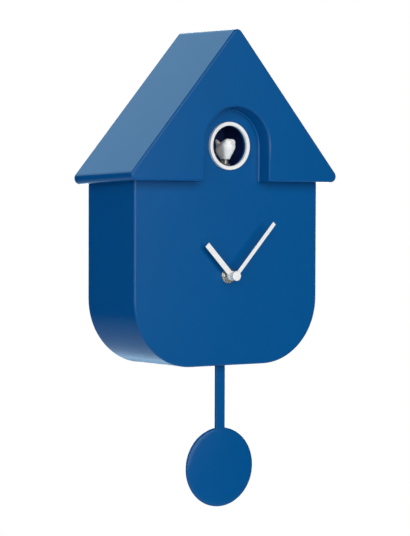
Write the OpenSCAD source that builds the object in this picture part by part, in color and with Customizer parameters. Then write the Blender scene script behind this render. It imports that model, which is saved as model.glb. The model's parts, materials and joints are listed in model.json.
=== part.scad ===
// Wall cuckoo clock: a gabled plastic case with a pendulum movement, two hands
// and a small bird that nods behind a round window.
//
// +X is to the right, -Y is the front and +Z is up. The wall is the plane y = 0,
// and the origin is the centre of the keyhole that the clock hangs by.
// Depths are counted from the wall towards the front.

/* [Case] */
// Width of the front plate
body_w = 185.6; // [182:0.1:230]
// Height of the body below the eaves
body_h = 155.1; // [154:0.1:200]
// Radius of the body's two lower corners
corner_r = 55.8; // [30:0.1:65]
// Depth from the wall to the front plate
body_depth = 71.8; // [66:0.1:90]
// How much the body widens on each side towards the wall
body_draft = 1.4; // [0.2:0.1:2]
// Wall thickness of the mouldings
wall = 2.5; // [2:0.1:3]

/* [Roof] */
// How far each eave reaches out past the body, before its tip is rounded
eave_out = 16.7; // [10:0.1:25]
// Height of the gable above the eaves, before its ridge is rounded
roof_h = 129.9; // [115:0.1:160]
// How far the gable's front stands proud of the front plate
gable_proud = 13.6; // [8:0.1:20]
// Radius of the ridge
ridge_r = 5.4; // [3:0.1:8]
// Radius of the eave tips
eave_r = 4.9; // [3:0.1:6]
// How much each eave reaches further out at the wall than at the front
roof_draft = 4.4; // [0.2:0.1:5]

/* [Bird window] */
// Radius of the arched recess in the gable
arch_r = 32.8; // [26:0.1:36]
// How much the arch narrows on each side towards the front plate
arch_draft = 1.8; // [0.2:0.1:2.5]
// Height of the window's centre above the eaves
window_h = 29.8; // [27:0.1:34]
// Radius of the round window
window_r = 17.1; // [13:0.1:20]
// Width of the white ring round the window
ring_w = 3.1; // [2:0.1:5]
// How far the ring stands proud of the front plate
ring_proud = 2.8; // [1:0.1:4]

/* [Hands] */
// Drop from the eaves to the hands' axis
hands_drop = 79.2; // [75:0.1:100]
// Length of the minute hand from its axis
minute_len = 59.1; // [45:0.1:66]
// Width of the minute hand
minute_w = 3.3; // [2:0.1:4]
// Length of the hour hand from its axis
hour_len = 36.4; // [28:0.1:45]
// Width of the hour hand
hour_w = 4.8; // [3:0.1:6]
// Thickness of both hands
hand_t = 0.8; // [0.5:0.1:1]
// Minute hand at rest, in degrees clockwise of 12
minute_at = 41.8; // [0:0.1:360]
// Hour hand at rest, in degrees clockwise of 12
hour_at = 316.3; // [0:0.1:360]

/* [Pendulum] */
// Radius of the disc
disc_r = 33.8; // [26:0.1:38]
// Thickness of the disc
disc_t = 5; // [4:0.1:6]
// Width of the pendulum bar
bar_w = 9; // [6:0.1:10]
// Thickness of the pendulum bar
bar_t = 2.8; // [1.8:0.1:2.8]
// Depth of the middle of the pendulum behind the front plate's face
pendulum_in = 11.9; // [11.5:0.1:12.3]
// Drop from the eaves to the disc's centre
disc_drop = 242.4; // [225:0.1:300]
// Swing to each side, in degrees
swing = 8; // [4:0.5:8]

/* [Bird] */
// Height of the bird without its peg
bird_h = 17.4; // [15:0.1:18]
// Depth of the bird's peg behind the front plate's face
peg_in = 4.6; // [4.2:0.1:5]
// Radius of the bird's peg
peg_r = 0.8; // [0.6:0.1:1]

/* [Back] */
// Height of the keyhole's centre above the eaves
keyhole_h = 70.6; // [60:0.1:80]
// Radius of the keyhole's round opening
keyhole_r = 4.5; // [4:0.1:5]
// Radius of the keyhole's slot
keyslot_r = 2.2; // [1.8:0.1:2.5]
// Length of the keyhole's slot above the opening's centre
keyslot_up = 10; // [8:0.1:12]
// Width and height of the service door
service_w = 66; // [62:0.1:70]
// Width of the battery door
battery_door_w = 38; // [36:0.1:40]
// Height of the battery door
battery_door_h = 62; // [60:0.1:66]
// How far the battery door slides up
battery_door_travel = 12; // [8:0.1:14]
// Travel of the volume slider
volume_travel = 12; // [8:0.1:14]
// Travel of the mode switch
mode_travel = 4; // [3:0.1:6]

/* [Movement] */
// Width and height of the movement's case
movement_w = 56; // [56:0.1:60]
// Depth of the movement's case
movement_d = 15.5; // [15.5:0.1:17]
// Wall thickness of the movement's case
movement_wall = 1.5; // [1.2:0.1:1.6]
// Thickness of one gear
gear_t = 1; // [0.8:0.1:1.1]
// Distance between the gear layers
layer_step = 1.9; // [1.8:0.05:1.95]
// Tooth module of the hands' gears
hand_module = 0.5; // [0.45:0.01:0.52]
// Tooth module of the running train
train_module = 0.3; // [0.28:0.01:0.31]

/* [Hidden] */
$fn = 96;
gap = 0.3;             // between pieces that move past each other
play = 0.05;           // radial running clearance of a shaft
seat = 0.1;            // between fixed pieces that drop into each other
over = 1;              // how far a cutting shape runs past what it cuts

eave_z = -keyhole_h;
bottom_z = eave_z - body_h;
window_z = eave_z + window_h;
hands_z = eave_z - hands_drop;
body_half = body_w / 2;
roof_half = body_half + eave_out;
roof_depth = body_depth + gable_proud;
ring_r = window_r + ring_w;
pendulum_depth = body_depth - pendulum_in;
peg_depth = body_depth - peg_in;
slope_len = norm([roof_half, roof_h]);
body_grow = 1 + body_draft / body_half;
roof_grow = 1 + roof_draft / roof_half;
body_back_half = body_half + body_draft;
plate_in = body_depth - wall;          // depth of the front plate's inner face
gable_in = roof_depth - wall;          // depth of the gable's inner face
spigot_h = 8;                          // how far the body reaches up into the roof
cover_ledge = 5;                       // room behind the spigot for the rear cover
tongue_r = arch_r + 5;                 // front plate behind the arch
bushing_r = 4;
plate_hole_r = bushing_r + gap;

// screws that hold the rear cover, as x and height above the eaves
cover_screws = [
    [0, roof_h - 26], [-roof_half * 0.6, 14], [roof_half * 0.6, 14],
    [-(body_half - 12), -38], [body_half - 12, -38],
    [-40, -(body_h - 13)], [40, -(body_h - 13)]
];
boss_r = 4;
pilot_r = 1.2;
screw_r = 1.5;
head_r = 2.8;
head_t = 1.4;

// movement
movement_front = plate_in - 0.5;       // the rubber gasket is 0.5 thick
movement_back = movement_front - movement_d;
movement_in_front = movement_front - movement_wall;
movement_in_back = movement_back + movement_wall;
movement_split = movement_in_front - 6.3;
movement_half = movement_w / 2;
layer_front = movement_in_front - 0.4;
pivot_r = 0.4;
pivot_len = 1;
arbor_r = 0.5;
tube_r = 2.2;
shaft_r = 1.25;
shelf_z = -11.2;                       // shelf under the gears, below the hands' axis
shelf_t = 1;
aa_r = 7.25;
aa_len = 50.5;
aa_z = shelf_z - shelf_t / 2 - aa_r - 0.1;
aa_depth = movement_in_front - aa_r - 0.15;

// tooth counts
cannon_n = 10;
minute_wheel_n = 30;
minute_pinion_n = 8;
hour_wheel_n = 32;
knob_pinion_n = 10;
centre_n = 64;
pinion_n = 8;
third_n = 60;
second_n = 50;
step_pinion_n = 10;
step_n = 48;

// arbors: each place is reached from the one before by a distance and a direction
function reach(m, n1, n2) = (n1 + n2) * m / 2;
function step_to(from, dist, dir) = from + dist * [cos(dir), sin(dir)];
minute_wheel_dir = 180;
knob_dir = 100;
third_dir = 60;
second_dir = 30;
step_dir = -80;
rotor_dir = -100;
minute_wheel_at = step_to([0, 0], reach(hand_module, cannon_n, minute_wheel_n), minute_wheel_dir);
knob_at = step_to(minute_wheel_at, reach(hand_module, minute_wheel_n, knob_pinion_n), knob_dir);
third_at = step_to([0, 0], reach(train_module, centre_n, pinion_n), third_dir);
second_at = step_to(third_at, reach(train_module, third_n, pinion_n), second_dir);
step_at = step_to(second_at, reach(train_module, second_n, step_pinion_n), step_dir);
rotor_at = step_to(step_at, reach(train_module, step_n, pinion_n), rotor_dir);

// how far a gear is turned so that its gaps take the teeth of the gear before it
function mesh_turn(n1, turn1, n2, dir) = dir + 180 + 180 / n2 - (turn1 - dir) * n1 / n2;
minute_wheel_turn = mesh_turn(cannon_n, 0, minute_wheel_n, minute_wheel_dir);
knob_turn = mesh_turn(minute_wheel_n, minute_wheel_turn, knob_pinion_n, knob_dir);
hour_wheel_turn = mesh_turn(minute_pinion_n, 0, hour_wheel_n, minute_wheel_dir + 180);
third_pinion_turn = mesh_turn(centre_n, 0, pinion_n, third_dir);
second_pinion_turn = mesh_turn(third_n, 0, pinion_n, second_dir);
step_pinion_turn = mesh_turn(second_n, 0, step_pinion_n, step_dir);
rotor_pinion_turn = mesh_turn(step_n, 0, pinion_n, rotor_dir);

// hands, as depths
washer_t = 0.6;
nut_t = 2.2;
nut_front = body_depth + washer_t + nut_t;
hour_depth = nut_front + 2.5;
hour_boss_r = 4;
hour_boss_t = 2.2;
minute_depth = hour_depth + 6;
minute_boss_r = 3.2;
cap_r = 4.1;
cap_t = 1.5;

// pendulum
bracket_z = hands_z - movement_half;
pivot_z = bracket_z - 7;
pin_r = 1;
bracket_half = 9;
ear_t = 2;
ear_front = movement_front - ear_t;
ear_back = movement_back;
hanger_t = 5;
hanger_len = 21;
bar_top = pivot_z - 10;
disc_z = eave_z - disc_drop;
bar_in_disc = 16;
bar_room = 3;                          // half the width of the slot that the bar swings in
coil_t = 1.7;
drive_z = pivot_z - 8;                 // height of the pendulum's magnet and coil

// bird and its rocker
bird_z = window_z - bird_h / 2 - 2.3;  // underside of the bird
rocker_pivot_depth = peg_depth - 5.4;
rocker_pivot_z = bird_z - 28.2;
rocker_pin_r = 1.5;
rocker_half = 3.5;
rocker_hub_half = 4.7;
tail_len = 22;
tail_t = 3;
magnet_r = 2.6;
magnet_t = 2.6;
magnet_z = rocker_pivot_z - 17;
rocker_back = peg_depth - 7.5;
chamber_half = window_r + 5.6;
chamber_t = 1.5;
chamber_floor = bird_z - 8;
chamber_top = window_z + window_r + 3;
chamber_back = plate_in - 36.3;
strut_half = 12;
strut_back = chamber_back + 1;
ear_in = 5;                            // from the middle to each ear of the rocker's bracket
bracket_ear_t = 3;

// rear cover and what it carries
service_half = service_w / 2;
service_z = hands_z;
door_t = wall - 0.5;
hinge_r = wall / 2 - play;
hinge_peg_r = 0.8;
hinge_peg_len = 3;
hinge_x = -service_half;
hinge_depth = wall / 2;
battery_x = body_half - 31.3;
battery_z = eave_z - 91;
box_half_w = 16.5;
box_half_h = 28;
box_t = 1.2;
box_depth = 18.5;
battery_door_t = 1.4;
door_floor = battery_door_t + 0.3;     // depth of the battery door's recess
board_x = 30.3 - body_half;
board_z = eave_z - 88;
board_w = 44;
board_h = 40;
board_back = 9;
board_t = 1.6;
volume_z = board_z + 12;
mode_z = board_z - 10;
knob_w = 3;
speaker_x = -40;
speaker_z = eave_z + 24;
speaker_r = 20;
sensor_x = 28;
sensor_depth = 30;
sensor_r = 2.5;
wire_r = 0.6;

// ---- shared shapes ----

// An outline drawn in x and z, made solid between two depths
module layer(from, to) {
    translate([0, -from, 0]) rotate([90, 0, 0]) linear_extrude(to - from) children();
}

// A round bar that points at the wall
module post(r, from, to, x = 0, z = 0) {
    layer(from, to) translate([x, z]) circle(r);
}

// A rectangle given by its centre, half width and half height
module plate(x, z, half_w, half_h) {
    translate([x - half_w, z - half_h]) square([2 * half_w, 2 * half_h]);
}

// An outline that shrinks from the wall to its true size at the front, about a height
module drafted(depth, grow, height = 0) {
    translate([0, 0, eave_z + height]) rotate([90, 0, 0])
        linear_extrude(depth, scale = 1 / grow) scale(grow) translate([0, -height]) children();
}

// The body's outline, with its eaves at 0
module body_outline(half_w, low, r, top) {
    for (side = [-1, 1]) translate([side * (half_w - r), low + r]) circle(r);
    translate([-(half_w - r), low]) square([2 * (half_w - r), r]);
    translate([-half_w, low + r]) square([2 * half_w, top - low - r]);
}

// Half width and height of the gable's triangle, moved in by a distance
function gable_half(inset) = roof_half - inset * (slope_len + roof_half) / roof_h;
function gable_top(inset) = roof_h - inset * slope_len / roof_half;

module gable_inside(inset) {
    polygon([[-gable_half(inset), inset], [gable_half(inset), inset], [0, gable_top(inset)]]);
}

module gable_outline() {
    hull() {
        translate([0, gable_top(ridge_r)]) circle(ridge_r);
        for (side = [-1, 1]) translate([side * gable_half(eave_r), eave_r]) circle(eave_r);
    }
}

// An arch round the window: a half circle on two straight sides
module arch(r, low) {
    intersection() {
        translate([0, window_h]) circle(r);
        translate([-r, window_h - wall]) square([2 * r, 2 * r]);
    }
    translate([-r, low]) square([2 * r, window_h - low]);
}

module gear(n, m, turn) {
    r = n * m / 2;
    pitch = 360 / n;
    profile = [[r - m, -0.22], [r, -0.21], [r + 0.7 * m, -0.1],
               [r + 0.7 * m, 0.1], [r, 0.21], [r - m, 0.22]];
    polygon([for (k = [0:n - 1]) for (p = profile)
        p[0] * [cos(turn + (k + p[1]) * pitch), sin(turn + (k + p[1]) * pitch)]]);
}

function layer_at(k) = layer_front - k * layer_step - gear_t;

module gear_in(k, n, m, turn, at = [0, 0]) {
    layer(layer_at(k), layer_at(k) + gear_t) translate(at) gear(n, m, turn);
}

// A wheel and a smaller pinion on one arbor that runs in both halves of the case
module wheel_and_pinion(at, wheel_k, wheel, pinion_k, pinion, m, wheel_turn, pinion_turn) {
    gear_in(wheel_k, wheel, m, wheel_turn, at);
    gear_in(pinion_k, pinion, m, pinion_turn, at);
    arbor(at);
}

module arbor(at) {
    post(arbor_r, movement_in_back + play, movement_in_front - play, at[0], at[1]);
    post(pivot_r, movement_in_back - pivot_len + play, movement_in_front + pivot_len - play,
        at[0], at[1]);
}

// Blind holes for an arbor's two ends
module pivot_holes(at) {
    post(pivot_r + play, movement_in_back - pivot_len, movement_in_front + pivot_len, at[0], at[1]);
}

module at_hands() {
    translate([0, 0, hands_z]) children();
}

// A solid round bar along X
module bar_x(r, from, to) {
    translate([from, 0, 0]) rotate([0, 90, 0]) cylinder(h = to - from, r = r);
}

// A round cell along X, centred, with its nub at the +X end
module cell() {
    nub = 1;
    bar_x(aa_r, -aa_len / 2, aa_len / 2 - nub);
    bar_x(2.7, -aa_len / 2, aa_len / 2);
}

// A point moved towards another by a little more than the wire's radius
function toward(from, to) = from + (to - from) * 1.2 * wire_r / norm(to - from);

// Straight lengths with round elbows, whose two ends meet what the wire runs to
module wire(points) {
    last = len(points) - 1;
    path = [for (k = [0:last]) k == 0 ? toward(points[0], points[1])
        : k == last ? toward(points[last], points[last - 1]) : points[k]];
    for (k = [0:last - 1]) hull() {
        translate(path[k]) sphere(wire_r, $fn = 8);
        translate(path[k + 1]) sphere(wire_r, $fn = 8);
    }
}

// ---- case ----

module roof_shell() {
    color("#10518a") {
        difference() {
            union() {
                difference() {
                    drafted(roof_depth, roof_grow, keyhole_h) gable_outline();
                    translate([0, 0, eave_z]) layer(-over, gable_in) gable_inside(wall);
                    // way through the soffit for the body
                    translate([0, 0, eave_z]) layer(-over, body_depth + seat)
                        plate(0, 0, body_back_half + seat, wall + over);
                }
                translate([0, 0, eave_z]) layer(body_depth + seat, gable_in) arch(arch_r + wall, 0);
            }
            arch_opening();
        }
        for (k = [0:2]) boss(cover_screws[k], gable_in);
    }
}

// A screw post from a front wall to the rear cover
// Opens from the front plate out to the gable's front
module arch_opening() {
    narrow = 1 - arch_draft / arch_r;
    widen = (1 - narrow) * (gable_proud + over) / gable_proud;
    translate([0, -body_depth, window_z]) rotate([90, 0, 0])
        linear_extrude(gable_proud + over, scale = (narrow + widen) / narrow)
            scale(narrow) translate([0, -window_h]) arch(arch_r, -4 * over);
}

module boss(at, depth) {
    translate([0, 0, eave_z]) difference() {
        post(boss_r, wall + seat, depth, at[0], at[1]);
        post(pilot_r, wall, 20, at[0], at[1]);
    }
}

module body_shell() {
    slot_half = (pivot_z - bottom_z) * tan(swing) + bar_w / 2 + 1.4;
    color("#0b508a") {
        difference() {
            union() {
                difference() {
                    drafted(body_depth, body_grow, -body_h * 0.65)
                        body_outline(body_half, -body_h, corner_r, spigot_h);
                    // the spigot is level on top
                    translate([0, 0, eave_z]) layer(-over, plate_in)
                        plate(0, spigot_h + 2, body_back_half + over, 2);
                    // the spigot stops short of the rear cover
                    translate([0, 0, eave_z]) layer(-over, cover_ledge)
                        plate(0, over + spigot_h, body_back_half + over, spigot_h + over);
                    translate([0, 0, eave_z]) layer(-over, plate_in)
                        body_outline(body_half - wall, -body_h + wall, corner_r - wall, spigot_h + over);
                }
                // the front plate goes on up behind the arch
                translate([0, 0, eave_z]) layer(plate_in, body_depth) arch(tongue_r, 0);
            }
            post(window_r, plate_in - over, body_depth + over, 0, window_z);
            post(plate_hole_r, plate_in - over, body_depth + over, 0, hands_z);
            translate([-slot_half, -pendulum_depth - bar_room, bottom_z - over])
                cube([2 * slot_half, 2 * bar_room, wall + 2 * over]);
            translate([sensor_x, -sensor_depth, bottom_z - over])
                cylinder(h = wall + 2 * over, r = sensor_r + seat);
        }
        for (k = [3:6]) boss(cover_screws[k], plate_in);
        for (side = [-1, 1]) chamber_boss(side);
    }
}

chamber_screw_x = chamber_half + 5;
chamber_screw_z = window_z;
chamber_boss_back = plate_in - 6;

module chamber_boss(side) {
    difference() {
        post(3, chamber_boss_back, plate_in, side * chamber_screw_x, chamber_screw_z);
        post(pilot_r, chamber_boss_back - over, plate_in - 1, side * chamber_screw_x, chamber_screw_z);
    }
}

module window_ring() {
    lip = 0.5;
    color("white") difference() {
        post(ring_r, body_depth, body_depth + ring_proud, 0, window_z);
        post(window_r, body_depth - over, body_depth + ring_proud + over, 0, window_z);
        // small step inside the ring's front edge
        post(window_r + lip, body_depth + ring_proud - lip, body_depth + ring_proud + over, 0, window_z);
    }
}

module case_screws() {
    color("silver") for (at = cover_screws) translate([0, 0, eave_z]) {
        post(head_r, 0.3, 0.3 + head_t, at[0], at[1]);
        post(pilot_r, 0.3, 11, at[0], at[1]);
    }
}

// ---- rear cover ----

module rear_cover() {
    color("#1b1c1f") {
        difference() {
            union() {
                translate([0, 0, eave_z]) layer(0, wall) {
                    gable_inside(wall + seat);
                    body_outline(body_half - wall - seat, -body_h + wall + seat,
                        corner_r - wall - seat, 2 * wall);
                }
                // thicker round the keyhole and behind the battery door
                layer(wall - seat, wall + 2) plate(0, 3, 10, 14);
                layer(wall - seat, door_floor + 2) translate([0, battery_door_travel / 2])
                    plate(battery_x, battery_z, battery_door_w / 2 + 2,
                        (battery_door_h + battery_door_travel) / 2 + 2);
            }
            keyhole();
            service_cut();
            battery_cut();
            for (at = cover_screws) translate([0, 0, eave_z]) {
                post(screw_r, -over, wall + over, at[0], at[1]);
                post(head_r + seat, -over, 0.3 + head_t, at[0], at[1]);
            }
            control_slot(volume_z, volume_travel);
            control_slot(mode_z, mode_travel);
            speaker_slots();
        }
        for (sx = [-1, 1]) for (sz = [-1, 1]) board_post(sx, sz);
    }
}

module keyhole() {
    post(keyhole_r, -over, wall + 2 + over);
    layer(-over, wall + 2 + over) {
        plate(0, keyslot_up / 2, keyslot_r, keyslot_up / 2);
        translate([0, keyslot_up]) circle(keyslot_r);
    }
}

// Window for the service door, its hinge's round edge and its two peg sockets
module service_cut() {
    low_x = hinge_x - hinge_r - gap;
    layer(-over, wall + over) translate([low_x, service_z - service_half - gap])
        square([service_half + gap - low_x, service_w + 2 * gap]);
    socket_half = service_half + hinge_peg_len + gap;
    translate([hinge_x, -hinge_depth, service_z - socket_half])
        cylinder(h = 2 * socket_half, r = hinge_peg_r + play);
}

module battery_cut() {
    // recess that the door slides in, and the window to the cells
    layer(-over, door_floor) translate([0, battery_door_travel / 2])
        plate(battery_x, battery_z, battery_door_w / 2 + gap,
            (battery_door_h + battery_door_travel) / 2 + gap);
    layer(-over, door_floor + 2 + over)
        plate(battery_x, battery_z, box_half_w - box_t, box_half_h - box_t);
}

module control_slot(z, travel) {
    layer(-over, wall + over) plate(board_x, z, (travel + knob_w) / 2 + gap, knob_w / 2 + gap);
}

module speaker_slots() {
    pitch = 5;
    for (k = [-3:3]) layer(-over, wall + over)
        plate(speaker_x, speaker_z + k * pitch, sqrt(pow(speaker_r - 3.5, 2) - pow(k * pitch, 2)), 1.1);
}

module board_post(sx, sz) {
    x = board_x + sx * (board_w / 2 - 4);
    z = board_z + sz * (board_h / 2 - 4);
    difference() {
        post(2.5, wall - seat, board_back, x, z);
        post(0.8, wall + 1, board_back + over, x, z);
    }
}

module service_door() {
    color("#26282c") difference() {
        union() {
            layer(hinge_depth - 1, hinge_depth - 1 + door_t)
                translate([hinge_x, service_z - service_half]) square([service_w, service_w]);
            translate([hinge_x, -hinge_depth, service_z - service_half]) {
                cylinder(h = service_w, r = hinge_r);
                translate([0, 0, -hinge_peg_len])
                    cylinder(h = service_w + 2 * hinge_peg_len, r = hinge_peg_r);
            }
        }
        // finger notch on the free edge
        post(7, -over, wall + over, service_half + 3, service_z);
    }
}

module battery_door() {
    color("#26282c") difference() {
        layer(0.1, 0.1 + battery_door_t)
            plate(battery_x, battery_z, battery_door_w / 2, battery_door_h / 2);
        // grip grooves
        for (k = [0:4]) layer(-over, 0.6) plate(battery_x, battery_z - 18 - 2 * k, 9, 0.5);
    }
}

module battery_box() {
    back = door_floor + 2;
    color("#1b1c1f") difference() {
        layer(back, back + box_depth) plate(battery_x, battery_z, box_half_w, box_half_h);
        layer(back - over, back + box_depth - box_t)
            plate(battery_x, battery_z, box_half_w - box_t, box_half_h - box_t);
    }
}

module sound_batteries() {
    depth = door_floor + 2 + box_depth - box_t - aa_r - 0.3;
    color("#3a6b45") for (side = [-1, 1])
        translate([battery_x + side * (aa_r + 0.2), -depth, battery_z]) rotate([0, side * 90, 0]) cell();
}

module sound_contacts() {
    depth = door_floor + 2 + box_depth - box_t - aa_r - 0.3;
    color("silver") for (end = [-1, 1]) {
        z = battery_z + end * (aa_len / 2 + 0.45);
        layer(depth - 5, depth + 5) plate(battery_x, z, 12.5, 0.25);
    }
}

// ---- sound board, controls, speaker and sensor ----

module sound_board() {
    color("#2f6b3c") difference() {
        layer(board_back, board_back + board_t) plate(board_x, board_z, board_w / 2, board_h / 2);
        for (sx = [-1, 1]) for (sz = [-1, 1])
            post(1, board_back - over, board_back + board_t + over,
                board_x + sx * (board_w / 2 - 4), board_z + sz * (board_h / 2 - 4));
    }
}

module sound_chips() {
    front = board_back + board_t;
    color("#202020") {
        layer(front, front + 1.5) plate(board_x - 4, board_z + 2, 6, 4);
        layer(front, front + 1.5) plate(board_x + 11, board_z - 4, 4, 3);
        post(3, front, front + 8, board_x - 12, board_z - 10);
        post(2.5, front, front + 6, board_x + 14, board_z + 10);
    }
}

// A sliding knob: it starts at one end of its travel, short of the board
module slider_knob(z, travel) {
    x = board_x - travel / 2;
    layer(0.4, board_back - gap) plate(x, z, knob_w / 2, knob_w / 2);
    layer(wall + gap, wall + gap + 1.2) plate(x, z, knob_w / 2 + 1.5, knob_w / 2 + 1.5);
}

module volume_slider() {
    color("#c9ccd0") slider_knob(volume_z, volume_travel);
}

module mode_switch() {
    color("#c9ccd0") slider_knob(mode_z, mode_travel);
}

speaker_back = wall + 1.5;
speaker_front = speaker_back + 8;

module speaker_basket() {
    color("#70757a") difference() {
        union() {
            post(speaker_r, wall, speaker_back, speaker_x, speaker_z);
            post(speaker_r * 0.8, speaker_back, speaker_front, speaker_x, speaker_z);
        }
        post(speaker_r * 0.8 - 1, wall - over, speaker_back + over, speaker_x, speaker_z);
        post(speaker_r * 0.8 - 1, speaker_back - over, speaker_front - 1, speaker_x, speaker_z);
    }
}

module speaker_cone() {
    out = speaker_r * 0.8 - 1.3;
    t = 0.6;
    color("#333333") translate([speaker_x, -wall - 0.4, speaker_z]) rotate([90, 0, 0])
        rotate_extrude() polygon([[0, 4.5], [4, 4.5], [out, 0], [out, t], [4, 4.5 + t], [0, 4.5 + t]]);
}

module speaker_magnet() {
    color("#8b9096") post(9, speaker_front, speaker_front + 5, speaker_x, speaker_z);
}

module light_sensor() {
    color("#d8dde2") translate([sensor_x, -sensor_depth, bottom_z]) {
        cylinder(h = wall + 2, r = sensor_r);
        translate([0, 0, wall]) cylinder(h = 1.5, r = sensor_r + 1);
    }
}

module wires() {
    front = board_back + board_t;
    edge = board_x + board_w / 2 - 3;
    box_front = door_floor + 2 + box_depth;
    color("#b03030") {
        // hour signal from the movement
        wire([[edge, -front, board_z], [edge, -40, board_z],
              [-movement_half - 8, -movement_back - 5, board_z + 4],
              [-movement_half, -movement_back - 5, board_z + 4]]);
        // to the speaker
        wire([[board_x, -front, board_z + 14], [board_x, -20, board_z + 16],
              [speaker_x - 4, -20, eave_z - 20], [speaker_x - 4, -20, speaker_z],
              [speaker_x - 4, -speaker_front - 5, speaker_z]]);
        // to the bird's solenoid
        wire([[edge, -front, board_z + 12], [edge, -24, board_z + 14],
              [-6, -28, magnet_z], [-6, -strut_back, magnet_z]]);
        // from the battery box
        wire([[edge, -front, board_z - 16], [edge, -26, battery_z - 25],
              [battery_x - 11, -26, battery_z - 25], [battery_x - 11, -box_front, battery_z - 25]]);
        // to the light sensor
        wire([[edge - 4, -front, board_z - 18], [edge - 4, -sensor_depth, bottom_z + 22],
              [sensor_x, -sensor_depth, bottom_z + 20],
              [sensor_x, -sensor_depth, bottom_z + wall + 2]]);
    }
}

// ---- bird ----

module bird() {
    color("white") difference() {
        union() {
            hull() {
                translate([0, -(peg_depth + 3.4), bird_z + bird_h - 6.8]) sphere(6.8, $fn = 32);
                translate([0, -(peg_depth - 3.4), bird_z + 8]) sphere(6.3, $fn = 32);
                translate([0, -(peg_depth - 0.4), bird_z]) cylinder(h = 1, r = 3.6, $fn = 32);
            }
            hull() {
                translate([0, -(peg_depth - 9), bird_z + 10.5]) sphere(3.4, $fn = 24);
                translate([0, -(peg_depth - 14), bird_z + 15.6]) sphere(1.6, $fn = 24);
            }
            hull() {
                translate([0, -(peg_depth + 8.6), bird_z + bird_h - 5]) sphere(1.8, $fn = 24);
                translate([0, -(peg_depth + 11), bird_z + bird_h - 5.4]) sphere(0.7, $fn = 24);
            }
        }
        translate([0, -peg_depth, bird_z - over]) cylinder(h = 6 + over, r = peg_r + play);
    }
}

module bird_peg() {
    foot = rocker_step_z - 3;
    color("#dfe2e5") translate([0, -peg_depth, foot]) cylinder(h = bird_z + 6 - foot, r = peg_r);
}

rocker_step_z = bird_z - 4;

module bird_rocker() {
    block_front = peg_depth - peg_r - 0.1;
    foot_front = peg_depth + 1.6;
    color("#4a4c4e") difference() {
        union() {
            layer(rocker_back, block_front) translate([-rocker_half, rocker_pivot_z])
                square([2 * rocker_half, bird_z - 0.5 - rocker_pivot_z]);
            layer(rocker_back, rocker_back + tail_t) translate([-rocker_half, rocker_pivot_z - tail_len])
                square([2 * rocker_half, tail_len]);
            layer(block_front - seat, foot_front) plate(0, rocker_step_z - 3, rocker_half, 3);
            translate([0, -rocker_pivot_depth, rocker_pivot_z]) bar_x(4, -rocker_hub_half, rocker_hub_half);
        }
        translate([0, -rocker_pivot_depth, rocker_pivot_z])
            bar_x(rocker_pin_r + play, -rocker_hub_half - over, rocker_hub_half + over);
        translate([0, -peg_depth, rocker_step_z - 3]) cylinder(h = 4, r = peg_r + play);
        post(magnet_r + play, rocker_back - over, rocker_back + magnet_t - 1, 0, magnet_z);
    }
}

module rocker_magnet() {
    color("#a9adb2") post(magnet_r, rocker_back - 1, rocker_back + magnet_t - 1, 0, magnet_z);
}

module rocker_pin() {
    color("silver") translate([0, -rocker_pivot_depth, rocker_pivot_z])
        bar_x(rocker_pin_r, -ear_in - bracket_ear_t, ear_in + bracket_ear_t);
}

core_r = 2;

module bird_chamber() {
    front = plate_in - 0.1;
    floor_slot = 5;
    color("#0a1030") difference() {
        union() {
            // the box behind the window, open to the front
            difference() {
                layer(chamber_back, front) translate([0, (chamber_floor + chamber_top) / 2])
                    plate(0, 0, chamber_half, (chamber_top - chamber_floor) / 2 + chamber_t);
                layer(chamber_back + chamber_t, front + over)
                    translate([0, (chamber_floor + chamber_top) / 2])
                        plate(0, 0, chamber_half - chamber_t, (chamber_top - chamber_floor) / 2);
            }
            // lugs for its two screws
            for (side = [-1, 1]) layer(chamber_boss_back - 2, chamber_boss_back)
                plate(side * (chamber_half + 4), chamber_screw_z, 5, 4);
            // two ears for the rocker's pin
            for (side = [-1, 1]) layer(rocker_pivot_depth - 4, rocker_pivot_depth + 4)
                plate(side * (ear_in + bracket_ear_t / 2), (rocker_pivot_z + chamber_floor) / 2 - 2,
                    bracket_ear_t / 2, (chamber_floor - rocker_pivot_z) / 2 + 3);
            // strut that carries the solenoid
            layer(strut_back, strut_back + 2) plate(0, (magnet_z + chamber_floor) / 2 - 5,
                strut_half, (chamber_floor - magnet_z) / 2 + 5);
        }
        translate([-floor_slot, -front - over, chamber_floor - chamber_t - over])
            cube([2 * floor_slot, 24 + over, chamber_t + 2 * over]);
        translate([0, -rocker_pivot_depth, rocker_pivot_z])
            bar_x(rocker_pin_r, -strut_half - over, strut_half + over);
        post(core_r, strut_back - over, strut_back + 2 + over, 0, magnet_z);
        for (side = [-1, 1])
            post(screw_r, chamber_boss_back - 2 - over, chamber_boss_back + over,
                side * chamber_screw_x, chamber_screw_z);
    }
}

module chamber_screws() {
    color("silver") for (side = [-1, 1]) {
        post(head_r, chamber_boss_back - 2 - head_t, chamber_boss_back - 2,
            side * chamber_screw_x, chamber_screw_z);
        post(pilot_r, chamber_boss_back - 2, plate_in - 1.2, side * chamber_screw_x, chamber_screw_z);
    }
}

core_front = rocker_back - 1 - 2;
bobbin_back = strut_back + 2;

module solenoid_core() {
    color("silver") post(core_r, strut_back, core_front, 0, magnet_z);
}

module solenoid_bobbin() {
    color("#e6e6e0") difference() {
        union() {
            post(7.5, bobbin_back, bobbin_back + 1, 0, magnet_z);
            post(core_r + 1, bobbin_back, core_front - 1, 0, magnet_z);
            post(7.5, core_front - 2, core_front - 1, 0, magnet_z);
        }
        post(core_r + play, bobbin_back - over, core_front + over, 0, magnet_z);
    }
}

module solenoid_coil() {
    color("#b5652b") difference() {
        post(6.8, bobbin_back + 1, core_front - 2, 0, magnet_z);
        post(core_r + 1, bobbin_back, core_front, 0, magnet_z);
    }
}

// ---- movement ----

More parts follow.
